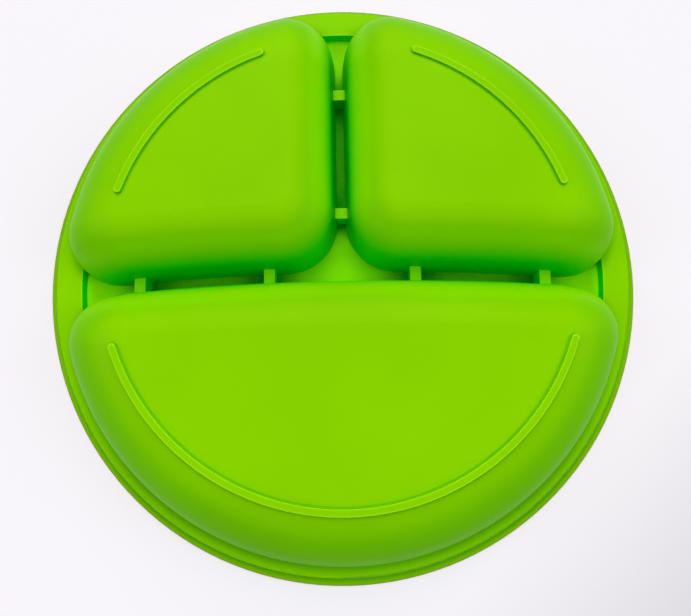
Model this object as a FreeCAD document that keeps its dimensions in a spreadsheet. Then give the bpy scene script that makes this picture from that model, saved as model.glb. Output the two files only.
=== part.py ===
import FreeCAD, Part
import Sketcher
import math
import os

# A round divided plate for a child, moulded in one piece of silicone rubber.
# It is modelled as it is photographed, turned over: the rim's food face lies on z = 0, and the
# undersides of the three wells stand up along +Z. The half-round well lies towards -Y and the two
# quarter wells towards +Y. The origin is the centre of the rim's food face. A bowed gap runs across
# the plate beside the half-round well, and a straight gap runs down between the quarter wells.
# Sizes are in millimetres and angles in degrees.
sizes = {
    "plateRadius": 100.0,  # outside radius, over the thin lip
    "lipThickness": 1.2,  # thickness of the lip at the rim's food face
    "lipWidth": 3.8,  # width of the lip around the thick part of the rim
    "rimThickness": 6.4,  # thickness of the rim, from its food face to its underside
    "rimWidth": 8.8,  # width of the rim's thick part, which steps down to the dividers
    "stepInset": 0.4,  # how far the foot of that step is set in, for draft
    "rimEdgeRound": 0.8,  # rounding of the rim's outer edge
    "lipEdgeRound": 0.4,  # rounding of the lip's edges
    "dividerUnderside": 3.4,  # height of the dividers' underside above the rim's food face
    "mouthRound": 1.0,  # rounding of the wells' mouths
    "baseHeight": 31.2,  # height of the wells' flat bases above the rim's food face
    "wallThickness": 2.2,  # thickness of the wells' walls and bases
    "wellInset": 8.1,  # how far the outside of the wells' mouths lies inside the plate's edge
    "flankAngle": 23.0,  # slope of the flank where it leaves the base
    "flankWidth": 4.8,  # width of the flank's straight part, beside the base
    "flankRadius": 26.9,  # radius of the flank as it turns down to the mouth
    "wallDraft": 5.0,  # lean of the walls along the gaps
    "shoulderRound": 15.0,  # rounding between those walls and the bases and flanks
    "baseEdgeExtra": 2.0,  # how much larger the rounding between base and flank is than the shoulders'
    "innerCornerRadius": 17.5,  # corner radius of the quarter wells beside the centre
    "downGapWidth": 2.8,  # width of the straight gap at its floor
    "acrossGapWidth": 4.2,  # width of the bowed gap at its floor
    "acrossGapOffset": 0.5,  # distance of the bowed gap's middle from the plate's centre
    "acrossGapBow": 890.0,  # radius of the bowed gap
    "ribTop": 10.0,  # height of the ribs' tops above the rim's food face
    "ribThickness": 3.7,  # thickness of the ribs that bridge the gaps
    "ribRoot": 1.1,  # how deep a rib runs into the walls and the floor
    "ribEdgeRound": 0.15,  # rounding of the ribs' top edges
    "innerRibDistance": 24.1,  # distance of the bowed gap's inner ribs from the centre line
    "outerRibInset": 25.2,  # how far the bowed gap's outer ribs lie inside the wells' radius
    "nearRibDistance": 21.4,  # distance of the straight gap's near rib from the centre
    "farRibInset": 28.8,  # how far the straight gap's far rib lies inside the wells' radius
    "beadWidth": 2.4,  # width of a bead, whose middle line is the edge of the base
    "beadHeight": 0.6,  # height of a bead above the base
    "beadRoot": 1.2,  # how deep a bead runs into the base
    "beadEdgeRound": 0.25,  # rounding of a bead's top edges
    "halfBeadEnd": 19.2,  # angle below the X axis where the half-round well's bead ends
    "quarterBeadStart": 19.8,  # angle above the X axis where a quarter well's bead starts
    "quarterBeadEnd": 70.2,  # angle above the X axis where a quarter well's bead ends
    "moldOverrun": 3.0,  # how far the wells' forms run past the faces where they are trimmed
}
tolerance = 1e-4

doc = FreeCAD.newDocument("DividedPlate")


# Formulas
# A formula keeps a value together with the text that ties it to the sheet, so a sketch is drawn
# at the right size and stays bound to the sheet's cells.
class Formula:
    def __init__(self, text, number):
        self.text = text
        self.number = number

    def __add__(self, other):
        return Formula(f"({self.text} + {textOf(other)})", self.number + numberOf(other))

    def __sub__(self, other):
        return Formula(f"({self.text} - {textOf(other)})", self.number - numberOf(other))

    def __mul__(self, other):
        return Formula(f"({self.text} * {textOf(other)})", self.number * numberOf(other))

    def __truediv__(self, other):
        return Formula(f"({self.text} / {textOf(other)})", self.number / numberOf(other))

    def __neg__(self):
        return Formula(f"(-{self.text})", -self.number)


def textOf(term):
    return term.text if isinstance(term, Formula) else str(term)


def numberOf(term):
    return term.number if isinstance(term, Formula) else term


def tangent(angle):
    return Formula(f"tan({angle.text} * 1 deg)", math.tan(math.radians(angle.number)))


def cosine(angle):
    return Formula(f"cos({angle.text} * 1 deg)", math.cos(math.radians(angle.number)))


def sine(angle):
    return Formula(f"sin({angle.text} * 1 deg)", math.sin(math.radians(angle.number)))


def squareRoot(term):
    return Formula(f"sqrt({term.text})", math.sqrt(term.number))


size = {name: Formula("Dimensions." + name, value) for name, value in sizes.items()}
zero = Formula("0", 0.0)
halfTurn = Formula("180", 180.0)
oneDegree = Formula("1 deg", 1.0)

# Radii that follow from the sizes
rimRadius = size["plateRadius"] - size["lipWidth"]
rimInnerRadius = rimRadius - size["rimWidth"]
wellRadius = size["plateRadius"] - size["wellInset"]
flankTurnWidth = size["flankRadius"] - size["flankRadius"] * sine(size["flankAngle"])
baseRadius = wellRadius - flankTurnWidth - size["flankWidth"]

# Middle of the circle that the bowed gap follows, along Y
bowCentre = size["acrossGapOffset"] - size["acrossGapBow"]


# Sheet and sketches
def makeSheet():
    sheet = doc.addObject("Spreadsheet::Sheet", "Dimensions")
    for row, (name, value) in enumerate(sizes.items(), start=1):
        sheet.set(f"A{row}", name)
        sheet.set(f"B{row}", str(value))
        sheet.setAlias(f"B{row}", name)
    doc.recompute()


def makeBody(name):
    body = doc.addObject("PartDesign::Body", name)
    body.Label = name
    return body


def originPart(body, role):
    return next(part for part in body.Origin.OriginFeatures if part.Role == role)


def addSketch(body, name, plane, offset=zero):
    sketch = body.newObject("Sketcher::SketchObject", name)
    sketch.AttachmentSupport = [(originPart(body, plane), "")]
    sketch.MapMode = "FlatFace"
    sketch.setExpression("AttachmentOffset.Base.z", offset.text)
    return sketch


def pointAt(across, up):
    return FreeCAD.Vector(numberOf(across), numberOf(up), 0)


def circleAt(middle, radius):
    return Part.Circle(middle, FreeCAD.Vector(0, 0, 1), radius.number)


def bind(sketch, constraint, formula):
    index = sketch.addConstraint(constraint)
    sketch.setExpression(f"Constraints[{index}]", formula.text)


def holdPoint(sketch, curve, end, across, up):
    bind(sketch, Sketcher.Constraint("DistanceX", -1, 1, curve, end, across.number), across)
    bind(sketch, Sketcher.Constraint("DistanceY", -1, 1, curve, end, up.number), up)


def addPolygon(sketch, corners):
    first = sketch.GeometryCount
    count = len(corners)
    for index, corner in enumerate(corners):
        following = corners[(index + 1) % count]
        sketch.addGeometry(Part.LineSegment(pointAt(*corner), pointAt(*following)))
    for index in range(count):
        following = first + (index + 1) % count
        sketch.addConstraint(Sketcher.Constraint("Coincident", first + index, 2, following, 1))
    for index, corner in enumerate(corners):
        holdPoint(sketch, first + index, 1, *corner)


def addRevolution(body, sketch, kind, axis, angle=None):
    feature = body.newObject(kind, sketch.Name.replace("Profile", ""))
    feature.Profile = sketch
    feature.ReferenceAxis = axis
    if angle is None:
        feature.Angle = 360
    else:
        feature.Midplane = True
        feature.setExpression("Angle", f"{angle.text} * 1 deg")
    sketch.Visibility = False
    doc.recompute()
    return feature


def addPad(body, sketch, length):
    pad = body.newObject("PartDesign::Pad", sketch.Name.replace("Profile", ""))
    pad.Profile = sketch
    pad.setExpression("Length", length.text)
    doc.recompute()
    return pad


def addFillet(body, name, chooses, radius):
    base = body.Tip
    edges = enumerate(base.Shape.Edges, start=1)
    sound = ((number, edge) for number, edge in edges if not edge.Degenerated)
    chosen = [f"Edge{number}" for number, edge in sound if chooses(base.Shape, edge)]
    if not chosen:
        raise RuntimeError(f"{name} finds no edge to round")
    fillet = body.newObject("PartDesign::Fillet", name)
    fillet.Base = (base, chosen)
    fillet.setExpression("Radius", radius.text)
    doc.recompute()


# Kinds of faces and edges
def isFlat(face):
    return face.Surface.TypeId == "Part::GeomPlane"


def isLevel(face):
    return isFlat(face) and abs(face.Surface.Axis.z) > 1 - tolerance


def isLevelAt(face, level):
    return isLevel(face) and abs(face.CenterOfMass.z - level.number) < tolerance


def isUpright(face):
    return isFlat(face) and abs(face.Surface.Axis.z) < tolerance


def isTurnedAboutPlateAxis(face):
    centre = getattr(face.Surface, "Center", None)
    return centre is not None and math.hypot(centre.x, centre.y) < tolerance


def isBowedWall(face):
    centre = getattr(face.Surface, "Center", None)
    return centre is not None and abs(centre.y - bowCentre.number) < tolerance


def isStraightWall(face):
    return isFlat(face) and not isLevel(face)


def facesBeside(shape, edge):
    return shape.ancestorsOfType(edge, Part.Face)


# The three wells' form. The same steps make their outside and, set in by the wall's thickness, their
# hollows. Both run below the food face, where the plate is trimmed afterwards.
def addWells(body, prefix, inset):
    bottom = -size["moldOverrun"]
    top = size["baseHeight"] - inset
    radius = wellRadius - inset
    turnRadius = size["flankRadius"] - inset
    edgeRadius = size["shoulderRound"] + size["baseEdgeExtra"] - inset
    slope = size["flankAngle"]

    # Half section: flat base, rounded edge, sloping flank, arc and upright side.
    crease = baseRadius - inset * tangent(slope / 2)
    edgeReach = edgeRadius * tangent(slope / 2)
    baseEnd = crease - edgeReach
    flankStart = (crease + edgeReach * cosine(slope), top - edgeReach * sine(slope))
    turnStartAcross = radius - turnRadius + turnRadius * sine(slope)
    turnStart = (turnStartAcross, top - (turnStartAcross - crease) * tangent(slope))
    turnCentreUp = turnStart[1] - turnRadius * cosine(slope)
    upright = math.radians(90)
    steepest = math.radians(90 - slope.number)
    sketch = addSketch(body, prefix + "DishProfile", "XZ_Plane")
    edgeCircle = circleAt(pointAt(baseEnd, top - edgeRadius), edgeRadius)
    turnCircle = circleAt(pointAt(radius - turnRadius, turnCentreUp), turnRadius)
    sketch.addGeometry(Part.LineSegment(pointAt(zero, bottom), pointAt(zero, top)))
    sketch.addGeometry(Part.LineSegment(pointAt(zero, top), pointAt(baseEnd, top)))
    sketch.addGeometry(Part.ArcOfCircle(edgeCircle, steepest, upright))
    sketch.addGeometry(Part.LineSegment(pointAt(*flankStart), pointAt(*turnStart)))
    sketch.addGeometry(Part.ArcOfCircle(turnCircle, 0, steepest))
    sketch.addGeometry(Part.LineSegment(pointAt(radius, turnCentreUp), pointAt(radius, bottom)))
    sketch.addGeometry(Part.LineSegment(pointAt(radius, bottom), pointAt(zero, bottom)))
    middle, base, baseEdge, flank, turn, side, foot = range(7)
    sketch.addConstraint(Sketcher.Constraint("Coincident", middle, 2, base, 1))
    sketch.addConstraint(Sketcher.Constraint("Tangent", base, 2, baseEdge, 2))
    sketch.addConstraint(Sketcher.Constraint("Tangent", baseEdge, 1, flank, 1))
    sketch.addConstraint(Sketcher.Constraint("Tangent", flank, 2, turn, 2))
    sketch.addConstraint(Sketcher.Constraint("Tangent", turn, 1, side, 1))
    sketch.addConstraint(Sketcher.Constraint("Coincident", side, 2, foot, 1))
    sketch.addConstraint(Sketcher.Constraint("Coincident", foot, 2, middle, 1))
    sketch.addConstraint(Sketcher.Constraint("Vertical", side))
    bind(sketch, Sketcher.Constraint("Radius", baseEdge, edgeRadius.number), edgeRadius)
    bind(sketch, Sketcher.Constraint("Radius", turn, turnRadius.number), turnRadius)
    holdPoint(sketch, middle, 1, zero, bottom)
    holdPoint(sketch, middle, 2, zero, top)
    holdPoint(sketch, base, 2, baseEnd, top)
    holdPoint(sketch, foot, 1, radius, bottom)
    bind(sketch, Sketcher.Constraint("Angle", flank, math.radians(-slope.number)), -slope * oneDegree)
    addRevolution(body, sketch, "PartDesign::Revolution", (originPart(body, "Z_Axis"), [""]))

    # The gaps widen upwards. Their widths are named at the dividers' underside.
    def halfWidth(width, level):
        rise = level - size["dividerUnderside"]
        return width / 2 + inset / cosine(size["wallDraft"]) + rise * tangent(size["wallDraft"])

    lowest = bottom - size["moldOverrun"]
    highest = top + size["moldOverrun"]

    def addChannel(sketch, centre, width):
        low = halfWidth(width, lowest)
        high = halfWidth(width, highest)
        corners = (
            (centre - low, lowest),
            (centre + low, lowest),
            (centre + high, highest),
            (centre - high, highest),
        )
        addPolygon(sketch, corners)

    # The bowed gap is turned about the middle of its bow.
    sketch = addSketch(body, prefix + "BowedGapProfile", "YZ_Plane")
    addChannel(sketch, size["acrossGapOffset"], size["acrossGapWidth"])
    axis = Part.LineSegment(pointAt(bowCentre, bottom), pointAt(bowCentre, top))
    axisLine = sketch.addGeometry(axis, True)
    holdPoint(sketch, axisLine, 1, bowCentre, bottom)
    holdPoint(sketch, axisLine, 2, bowCentre, top)
    reach = size["plateRadius"] / (size["acrossGapBow"] - size["plateRadius"])
    sweep = Formula(f"(2 * atan({reach.text}) / 1 deg)", 2 * math.degrees(math.atan(reach.number)))
    addRevolution(body, sketch, "PartDesign::Groove", (sketch, ["Axis0"]), sweep)

    # The straight gap runs from the bowed gap out through the rim's side.
    sketch = addSketch(body, prefix + "StraightGapProfile", "XZ_Plane", -size["acrossGapOffset"])
    addChannel(sketch, zero, size["downGapWidth"])
    pocket = body.newObject("PartDesign::Pocket", prefix + "StraightGap")
    pocket.Profile = sketch
    pocket.Type = "ThroughAll"
    doc.recompute()

    def isInnerCorner(shape, edge):
        faces = facesBeside(shape, edge)
        return any(isBowedWall(face) for face in faces) and any(isStraightWall(face) for face in faces)

    def isShoulder(shape, edge):
        faces = facesBeside(shape, edge)
        if any(isLevel(face) and face.CenterOfMass.z < bottom.number + tolerance for face in faces):
            return False
        return sum(isLevel(face) or isTurnedAboutPlateAxis(face) for face in faces) == 1

    addFillet(body, prefix + "InnerCorners", isInnerCorner, size["innerCornerRadius"] - inset)
    addFillet(body, prefix + "Shoulders", isShoulder, size["shoulderRound"] - inset)


# The wells' form ends at the level of the food face.
def trimAtFoodFace(body):
    sketch = addSketch(body, "trimProfile", "XY_Plane")
    reach = size["plateRadius"]
    addPolygon(sketch, ((-reach, -reach), (reach, -reach), (reach, reach), (-reach, reach)))
    pocket = body.newObject("PartDesign::Pocket", "trim")
    pocket.Profile = sketch
    pocket.Type = "ThroughAll"
    doc.recompute()


def addRimAndDividers(body):
    sketch = addSketch(body, "rimProfile", "XZ_Plane")
    stepFoot = rimInnerRadius - size["stepInset"]
    corners = (
        (zero, zero),
        (size["plateRadius"], zero),
        (size["plateRadius"], size["lipThickness"]),
        (rimRadius, size["lipThickness"]),
        (rimRadius, size["rimThickness"]),
        (rimInnerRadius, size["rimThickness"]),
        (stepFoot, size["dividerUnderside"]),
        (zero, size["dividerUnderside"]),
    )
    addPolygon(sketch, corners)
    addRevolution(body, sketch, "PartDesign::Revolution", (originPart(body, "Z_Axis"), [""]))


# Low ribs bridge the gaps. Each runs into the walls on both sides and into the floor.
def addRibs(body):
    start = size["dividerUnderside"] - size["ribRoot"]
    widening = (size["ribTop"] - size["dividerUnderside"]) * tangent(size["wallDraft"])
    halfThickness = size["ribThickness"] / 2

    def addRectangle(sketch, middleAcross, middleUp, halfAcross, halfUp):
        corners = (
            (middleAcross - halfAcross, middleUp - halfUp),
            (middleAcross + halfAcross, middleUp - halfUp),
            (middleAcross + halfAcross, middleUp + halfUp),
            (middleAcross - halfAcross, middleUp + halfUp),
        )
        addPolygon(sketch, corners)

    halfLength = size["acrossGapWidth"] / 2 + widening + size["ribRoot"]
    sketch = addSketch(body, "bowedGapRibsProfile", "XY_Plane", start)
    bow = size["acrossGapBow"]
    for distance in (size["innerRibDistance"], wellRadius - size["outerRibInset"]):
        middle = bowCentre + squareRoot(bow * bow - distance * distance)
        addRectangle(sketch, distance, middle, halfThickness, halfLength)
        addRectangle(sketch, -distance, middle, halfThickness, halfLength)
    addPad(body, sketch, size["ribTop"] - start)

    halfLength = size["downGapWidth"] / 2 + widening + size["ribRoot"]
    sketch = addSketch(body, "straightGapRibsProfile", "XY_Plane", start)
    for distance in (size["nearRibDistance"], wellRadius - size["farRibInset"]):
        addRectangle(sketch, zero, distance, halfLength, halfThickness)
    addPad(body, sketch, size["ribTop"] - start)

    def isRibTopEdge(shape, edge):
        faces = facesBeside(shape, edge)
        atTop = any(isLevelAt(face, size["ribTop"]) for face in faces)
        return atTop and any(isUpright(face) for face in faces)

    addFillet(body, "ribEdges", isRibTopEdge, size["ribEdgeRound"])


# A bead is an arc-shaped ridge with round ends. It follows the edge of a well's base.
def addBead(sketch, startAngle, endAngle):
    halfWidth = size["beadWidth"] / 2
    outerRadius = baseRadius + halfWidth
    innerRadius = baseRadius - halfWidth
    start = math.radians(startAngle.number)
    end = math.radians(endAngle.number)
    startMiddle = pointAt(baseRadius * cosine(startAngle), baseRadius * sine(startAngle))
    endMiddle = pointAt(baseRadius * cosine(endAngle), baseRadius * sine(endAngle))

    def addArc(middle, radius, fromAngle, toAngle):
        return sketch.addGeometry(Part.ArcOfCircle(circleAt(middle, radius), fromAngle, toAngle))

    outer = addArc(pointAt(zero, zero), outerRadius, start, end)
    endCap = addArc(endMiddle, halfWidth, end, end + math.pi)
    inner = addArc(pointAt(zero, zero), innerRadius, start, end)
    startCap = addArc(startMiddle, halfWidth, start - math.pi, start)
    sketch.addConstraint(Sketcher.Constraint("Coincident", outer, 3, -1, 1))
    sketch.addConstraint(Sketcher.Constraint("Coincident", inner, 3, -1, 1))
    sketch.addConstraint(Sketcher.Constraint("Tangent", outer, 2, endCap, 1))
    sketch.addConstraint(Sketcher.Constraint("Tangent", endCap, 2, inner, 2))
    sketch.addConstraint(Sketcher.Constraint("Tangent", inner, 1, startCap, 1))
    sketch.addConstraint(Sketcher.Constraint("Tangent", startCap, 2, outer, 1))
    bind(sketch, Sketcher.Constraint("Radius", outer, outerRadius.number), outerRadius)
    bind(sketch, Sketcher.Constraint("Radius", inner, innerRadius.number), innerRadius)
    for cap, middle, angle in ((startCap, startMiddle, startAngle), (endCap, endMiddle, endAngle)):
        spoke = sketch.addGeometry(Part.LineSegment(pointAt(zero, zero), middle), True)
        sketch.addConstraint(Sketcher.Constraint("Coincident", spoke, 1, -1, 1))
        sketch.addConstraint(Sketcher.Constraint("Coincident", spoke, 2, cap, 3))
        bind(sketch, Sketcher.Constraint("Angle", spoke, math.radians(angle.number)), angle * oneDegree)


def addBeads(body):
    start = size["baseHeight"] - size["beadRoot"]
    sketch = addSketch(body, "beadsProfile", "XY_Plane", start)
    addBead(sketch, size["quarterBeadStart"], size["quarterBeadEnd"])
    addBead(sketch, halfTurn - size["quarterBeadEnd"], halfTurn - size["quarterBeadStart"])
    addBead(sketch, halfTurn + size["halfBeadEnd"], halfTurn * 2 - size["halfBeadEnd"])
    addPad(body, sketch, size["beadRoot"] + size["beadHeight"])
    top = size["baseHeight"] + size["beadHeight"]

    def isBeadTopEdge(shape, edge):
        return any(isLevelAt(face, top) for face in facesBeside(shape, edge))

    addFillet(body, "beadEdges", isBeadTopEdge, size["beadEdgeRound"])


def hollowOut(body, form):
    cut = body.newObject("PartDesign::Boolean", "hollowing")
    cut.Type = "Cut"
    cut.Group = [form]
    doc.recompute()


def roundRimAndMouths(body):
    def isAtRadius(edge, radius):
        return edge.Curve.TypeId == "Part::GeomCircle" and abs(edge.Curve.Radius - radius.number) < tolerance

    def isRimEdge(shape, edge):
        atTop = any(isLevelAt(face, size["rimThickness"]) for face in facesBeside(shape, edge))
        return atTop and isAtRadius(edge, rimRadius)

    def isLipEdge(shape, edge):
        return isAtRadius(edge, size["plateRadius"])

    def isMouth(shape, edge):
        atFoodFace = any(isLevelAt(face, zero) for face in facesBeside(shape, edge))
        return atFoodFace and not isAtRadius(edge, size["plateRadius"])

    addFillet(body, "rimEdge", isRimEdge, size["rimEdgeRound"])
    addFillet(body, "mouths", isMouth, size["mouthRound"])
    addFillet(body, "lipEdges", isLipEdge, size["lipEdgeRound"])


def checkEverything(body):
    for item in doc.Objects:
        if "Invalid" in item.State or "Error" in item.State:
            raise RuntimeError(f"{item.Label} is {item.State}")
    if body.Shape.isNull() or not body.Shape.isValid():
        raise RuntimeError(f"{body.Label} has no sound shape")
    if len(body.Shape.Solids) != 1:
        raise RuntimeError(f"{body.Label} is not one solid")


def main():
    makeSheet()
    plate = makeBody("plate")
    addWells(plate, "well", zero)
    trimAtFoodFace(plate)
    addRimAndDividers(plate)
    addRibs(plate)
    addBeads(plate)
    hollows = makeBody("hollows")
    addWells(hollows, "hollow", size["wallThickness"])
    hollowOut(plate, hollows)
    roundRimAndMouths(plate)
    plate.Placement = FreeCAD.Placement()
    doc.recompute()
    checkEverything(plate)
    os.makedirs("parts", exist_ok=True)
    plate.Shape.exportStep(f"parts/{plate.Label}.step")
    box = plate.Shape.optimalBoundingBox(False)
    extents = f"{box.XLength:.2f} x {box.YLength:.2f} x {box.ZLength:.2f} mm"
    print(f"plate: {extents}, {plate.Shape.Volume:.0f} mm3")


main()
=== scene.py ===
import math
import bpy
from mathutils import Euler, Matrix, Vector

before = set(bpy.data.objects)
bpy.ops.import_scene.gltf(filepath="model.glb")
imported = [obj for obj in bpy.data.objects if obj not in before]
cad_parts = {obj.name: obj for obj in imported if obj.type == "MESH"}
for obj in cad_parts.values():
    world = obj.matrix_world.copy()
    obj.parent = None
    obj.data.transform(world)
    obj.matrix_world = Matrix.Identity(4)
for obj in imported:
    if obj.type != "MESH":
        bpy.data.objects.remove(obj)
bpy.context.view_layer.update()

mm = 0.001  # every size below is written in millimetres


def linear(hexColour):
    # an sRGB hex value as the linear colour that a shader takes
    channels = [int(hexColour[i:i + 2], 16) / 255 for i in (1, 3, 5)]
    return [c / 12.92 if c <= 0.04045 else ((c + 0.055) / 1.055) ** 2.4 for c in channels] + [1.0]


def addNode(tree, kind, settings=None, inputs=None, links=None):
    # settings go on the node itself, inputs on its sockets, links come from other nodes' outputs
    node = tree.nodes.new(kind)
    for name, value in (settings or {}).items():
        setattr(node, name, value)
    for name, value in (inputs or {}).items():
        node.inputs[name].default_value = value
    for name, (source, output) in (links or {}).items():
        tree.links.new(source.outputs[output], node.inputs[name])
    return node


def newMaterial(name):
    material = bpy.data.materials.new(name)
    material.use_nodes = True
    material.node_tree.nodes.clear()
    return material, material.node_tree


def seenByEye(tree):
    # 1 for what the camera sees, also in a reflection or through a clear piece
    ray = addNode(tree, "ShaderNodeLightPath")
    either = addNode(tree, "ShaderNodeMath", {"operation": "MAXIMUM"},
                     links={0: (ray, "Is Camera Ray"), 1: (ray, "Is Glossy Ray")})
    return addNode(tree, "ShaderNodeMath", {"operation": "MAXIMUM"},
                   links={0: (either, "Value"), 1: (ray, "Is Transmission Ray")})


# silicone plate
silicone = {
    "openColour": "#87CE00",    # lime pigment, mixed all through the rubber, where light falls freely
    # Each tint below paints light or shade into the colour, and lies over the ones before it. It goes
    # from none to full between two limits of what it follows: upward is the upward part of the surface's
    # direction, fromMiddleMm the distance from the plate's middle, and the rest are the open shares
    # below.
    "paintedLightAndShade": {
        # painted shade: greener where the surface turns away
        "slope": ("#74C400", {"upward": (0.998, 0.78)}),
        # painted light and shade on the thin lip: a little darker and yellower, for light that it lets
        # through to the ground
        "lip": ("#88C400", {"fromMiddleMm": (96.2, 96.6)}),
        # painted light: thin edges painted lighter, as a glow from light passing out through both their
        # sides
        "edge": ("#A8EC18", {"rubber": (0.92, 0.5)}),
        # painted shade: the very edge of the lip as a dark olive line against the pale ground
        "brim": ("#8C9C20", {"fromMiddleMm": (99.3, 99.7)}),
        # painted light: brighter between walls, as on the ribs and the gaps' ends, for light that the
        # rubber on both sides passes on
        "between": ("#8EEA00", {"sky": (0.62, 0.36)}),
        # painted shade on the shoulders that lead down to a gap
        "shoulder": ("#80D400", {"sky": (1.0, 0.86), "upward": (0.99, 0.8)}),
        # painted shade and painted light: the walls of a gap in a purer, brighter green
        "wall": ("#42D400", {"sky": (0.85, 0.35), "upward": (0.95, 0.4)}),
        # painted shade: the feet of those walls, pure green
        "foot": ("#00D400", {"sky": (0.48, 0.22), "upward": (0.9, 0.5)}),
        # painted shade: the gaps' floors, darker, where light comes only off and through the rubber
        "floor": ("#00A000", {"sky": (0.26, 0.19), "upward": (0.5, 0.9)}),
        # painted shade in sharp inside corners along the beads, the steps and the wells, but not down in
        # the gaps
        "crease": ("#4AA600", {"corner": (0.93, 0.55), "sky": (0.5, 0.7)}),
    },
    # the share that is open round a point: reach in mm, number of rays, and whether they are cast
    # inside the rubber
    "openShares": {
        "sky": (30.0, 32, False),
        "corner": (6.0, 8, False),
        "rubber": (0.9, 8, True),
    },
    # size in mm and levels of finer detail
    "noises": {
        "cloud": (38.0, 2.0),   # soft patches where the pigment is uneven
        "grain": (0.6, 3.0),    # blasted grain of the mould, drawn coarser than real so that it shows
        "wave": (16.0, 1.0),    # slow unevenness of a soft wall
    },
    "cloudRange": (0.3, 0.7),   # the noise's values that give the darkest and the lightest pigment
    "unevenness": 0.03,         # of the pigment
    "roughness": 0.3,           # satin, from a lightly blasted mould
    "roughnessSpread": 0.06,
    "grainDepthMm": 0.008,
    "waveDepthMm": 0.03,
    "ior": 1.41,                # silicone rubber
    "specular": 0.012,          # kept low: the real rubber keeps its full colour even in bright light
    "scatter": 0.1,             # a little light travels inside the rubber
    "scatterDepthMm": 1.2,
    "scatterShares": (0.6, 1.0, 0.25),  # green goes furthest
}


def siliconeMaterial():
    # moulded silicone rubber: satin, deeply coloured, with painted shade and painted light laid into its
    # colour, a fine even grain and no sharp glints
    s = silicone
    material, tree = newMaterial("mouldedSiliconeLime")
    place = addNode(tree, "ShaderNodeTexCoord")
    facing = addNode(tree, "ShaderNodeSeparateXYZ", links={"Vector": (place, "Normal")})
    flatMm = addNode(tree, "ShaderNodeVectorMath", {"operation": "MULTIPLY"}, {1: (1 / mm, 1 / mm, 0)},
                     {0: (place, "Object")})
    fromMiddle = addNode(tree, "ShaderNodeVectorMath", {"operation": "LENGTH"},
                         links={0: (flatMm, "Vector")})
    followed = {"upward": (facing, "Z"), "fromMiddleMm": (fromMiddle, "Value")}
    for name, (reachMm, rays, inside) in s["openShares"].items():
        share = addNode(tree, "ShaderNodeAmbientOcclusion",
                        {"samples": rays, "only_local": True, "inside": inside},
                        {"Distance": reachMm * mm})
        followed[name] = (share, "AO")

    # the lime colour, then the painted shade and painted light laid over it tint by tint
    surface = addNode(tree, "ShaderNodeRGB")
    surface.outputs["Color"].default_value = linear(s["openColour"])
    for tint, limits in s["paintedLightAndShade"].values():
        most = {}
        for name, (start, end) in limits.items():
            share = addNode(tree, "ShaderNodeMapRange", {"interpolation_type": "SMOOTHSTEP"},
                            {"From Min": start, "From Max": end}, {"Value": followed[name], **most})
            most = {"To Max": (share, "Result")}
        surface = addNode(tree, "ShaderNodeMixRGB", inputs={"Color2": linear(tint)},
                          links={"Fac": (share, "Result"), "Color1": (surface, "Color")})

    noises = {}
    for name, (sizeMm, detail) in s["noises"].items():
        noises[name] = addNode(tree, "ShaderNodeTexNoise",
                               inputs={"Scale": 1 / (sizeMm * mm), "Detail": detail},
                               links={"Vector": (place, "Object")})
    uneven = addNode(tree, "ShaderNodeMapRange",
                     inputs={"From Min": s["cloudRange"][0], "From Max": s["cloudRange"][1],
                             "To Min": 1 - s["unevenness"], "To Max": 1 + s["unevenness"]},
                     links={"Value": (noises["cloud"], "Fac")})
    colour = addNode(tree, "ShaderNodeHueSaturation",
                     links={"Color": (surface, "Color"), "Value": (uneven, "Result")})
    rough = addNode(tree, "ShaderNodeMapRange",
                    inputs={"To Min": s["roughness"] - s["roughnessSpread"] / 2,
                            "To Max": s["roughness"] + s["roughnessSpread"] / 2},
                    links={"Value": (noises["grain"], "Fac")})
    waves = addNode(tree, "ShaderNodeBump", inputs={"Strength": 1.0, "Distance": s["waveDepthMm"] * mm},
                    links={"Height": (noises["wave"], "Fac")})
    bumps = addNode(tree, "ShaderNodeBump", inputs={"Strength": 1.0, "Distance": s["grainDepthMm"] * mm},
                    links={"Height": (noises["grain"], "Fac"), "Normal": (waves, "Normal")})
    shader = addNode(tree, "ShaderNodeBsdfPrincipled",
                     inputs={"IOR": s["ior"], "Specular IOR Level": s["specular"],
                             "Subsurface Weight": s["scatter"],
                             "Subsurface Radius": s["scatterShares"],
                             "Subsurface Scale": s["scatterDepthMm"] * mm},
                     links={"Base Color": (colour, "Color"), "Roughness": (rough, "Result"),
                            "Normal": (bumps, "Normal")})
    addNode(tree, "ShaderNodeOutputMaterial", links={"Surface": (shader, "BSDF")})
    return material


def dressPlate():
    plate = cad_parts["plate"]
    plate.data.materials.clear()
    plate.data.materials.append(siliconeMaterial())
    print("plate dressed")


# ground
ground = {
    "colour": "#F5F0F6",
    "seenColour": "#FAF5FB",    # the same card as the eye sees it, where the light falls freely
    "seenShare": 0.6,           # how far the card's shade is evened out, as under a broad bright sky
    "roughness": 0.75,
    "widthMm": 3000.0,
    "shadeRoundDeg": -45.0,     # painted shade: the card darkens towards the near right corner
    "shadeFromMm": 100.0,
    "shadeToMm": 180.0,
    "shade": 0.7,               # what is left of its brightness there
}


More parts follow.
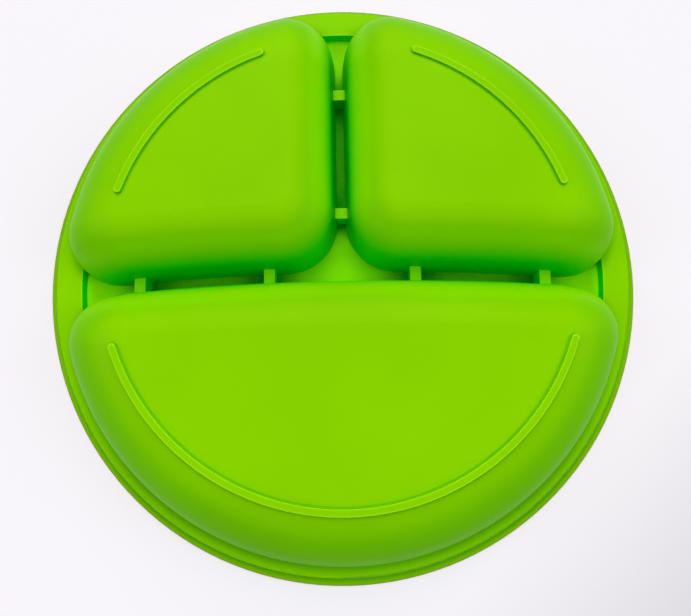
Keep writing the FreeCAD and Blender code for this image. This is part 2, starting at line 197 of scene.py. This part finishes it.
def makeGround():
    # matt coated card that the plate lies on, with a painted shade towards its near right corner
    g = ground
    material, tree = newMaterial("matteCardWhite")
    place = addNode(tree, "ShaderNodeTexCoord")
    shadeRound = math.radians(g["shadeRoundDeg"])
    across = addNode(tree, "ShaderNodeVectorMath", {"operation": "DOT_PRODUCT"},
                     {1: (math.cos(shadeRound), math.sin(shadeRound), 0)}, {0: (place, "Object")})
    falloff = addNode(tree, "ShaderNodeMapRange",
                      inputs={"From Min": g["shadeFromMm"] * mm, "From Max": g["shadeToMm"] * mm,
                              "To Min": 1.0, "To Max": g["shade"]},
                      links={"Value": (across, "Value")})
    shaded = {}
    for name in ("colour", "seenColour"):
        shaded[name] = addNode(tree, "ShaderNodeHueSaturation", inputs={"Color": linear(g[name])},
                               links={"Value": (falloff, "Result")})
    card = addNode(tree, "ShaderNodeBsdfPrincipled", inputs={"Roughness": g["roughness"]},
                   links={"Base Color": (shaded["colour"], "Color")})
    seen = addNode(tree, "ShaderNodeEmission", links={"Color": (shaded["seenColour"], "Color")})
    share = addNode(tree, "ShaderNodeMath", {"operation": "MULTIPLY"}, {1: g["seenShare"]},
                    {0: (seenByEye(tree), "Value")})
    both = addNode(tree, "ShaderNodeMixShader",
                   links={"Fac": (share, "Value"), 1: (card, "BSDF"), 2: (seen, "Emission")})
    addNode(tree, "ShaderNodeOutputMaterial", links={"Surface": (both, "Shader")})
    half = g["widthMm"] * mm / 2
    corners = [(-half, -half, 0), (half, -half, 0), (half, half, 0), (-half, half, 0)]
    mesh = bpy.data.meshes.new("ground")
    mesh.from_pydata(corners, [], [(0, 1, 2, 3)])
    sheet = bpy.data.objects.new("ground", mesh)
    bpy.context.scene.collection.objects.link(sheet)
    sheet.data.materials.append(material)
    print("ground laid")


# light
lights = {
    "ambientColour": "#FFFFFF",
    "ambient": 0.12,
    "roomColour": "#F4F0F5",     # what lies beyond the ground
    "spreadDeg": 35.0,           # width of each softbox as the plate sees it
    "softboxes": {               # degrees round from +X, degrees up, strength, colour
        "window": (90, 62, 1.3, "#FFF8F8"),
        "windowSill": (90, 35, 0.92, "#FFEAEA"),
        "rightWall": (0, 35, 0.95, "#EAFFFF"),
        "leftWall": (180, 35, 0.78, "#EAFFFF"),
        "ceiling": (270, 62, 0.42, "#EAFFFF"),
    },
}


def makeLight():
    world = bpy.data.worlds.new("softRoom")
    bpy.context.scene.world = world
    world.use_nodes = True
    tree = world.node_tree
    tree.nodes.clear()
    ambient = addNode(tree, "ShaderNodeBackground",
                      inputs={"Color": linear(lights["ambientColour"]), "Strength": lights["ambient"]})
    room = addNode(tree, "ShaderNodeBackground",
                   inputs={"Color": linear(lights["roomColour"]), "Strength": 1.0})
    both = addNode(tree, "ShaderNodeMixShader",
                   links={"Fac": (seenByEye(tree), "Value"), 1: (ambient, "Background"),
                          2: (room, "Background")})
    addNode(tree, "ShaderNodeOutputWorld", links={"Surface": (both, "Shader")})
    for name, (roundDeg, upDeg, strength, colour) in lights["softboxes"].items():
        data = bpy.data.lights.new(name, "SUN")
        data.angle = math.radians(lights["spreadDeg"])
        data.energy = strength
        data.color = linear(colour)[:3]
        softbox = bpy.data.objects.new(name, data)
        bpy.context.scene.collection.objects.link(softbox)
        around, up = math.radians(roundDeg), math.radians(upDeg)
        towards = Vector((math.cos(up) * math.cos(around), math.cos(up) * math.sin(around), math.sin(up)))
        softbox.rotation_euler = towards.to_track_quat("Z", "Y").to_euler()
    print("light set")


# camera
view = {
    "eyeMm": (0.645, -34.37, 198.58),   # from the middle of the rim's food face
    "tiltDeg": 7.21,                    # from straight down towards the quarter wells
    "panDeg": 0.11,
    "rollDeg": -1.17,
    "focalPx": 580.87,                  # in the photograph's pixels
    "imageWidthPx": 691,
    "sensorMm": 36.0,
    "nearestMm": 5.0,                   # nothing closer than this is drawn
}


def makeCamera():
    data = bpy.data.cameras.new("photoView")
    data.sensor_width = view["sensorMm"]
    data.lens = view["sensorMm"] * view["focalPx"] / view["imageWidthPx"]
    data.clip_start = view["nearestMm"] * mm
    camera = bpy.data.objects.new("photoView", data)
    bpy.context.scene.collection.objects.link(camera)
    angles = [math.radians(view[name]) for name in ("tiltDeg", "panDeg", "rollDeg")]
    turn = Euler(angles, "YXZ").to_matrix().to_4x4()
    camera.matrix_world = Matrix.Translation(Vector(view["eyeMm"]) * mm) @ turn
    bpy.context.scene.camera = camera
    print("camera placed")


makeCamera()
dressPlate()
makeGround()
makeLight()
bpy.context.scene.view_settings.view_transform = "Standard"
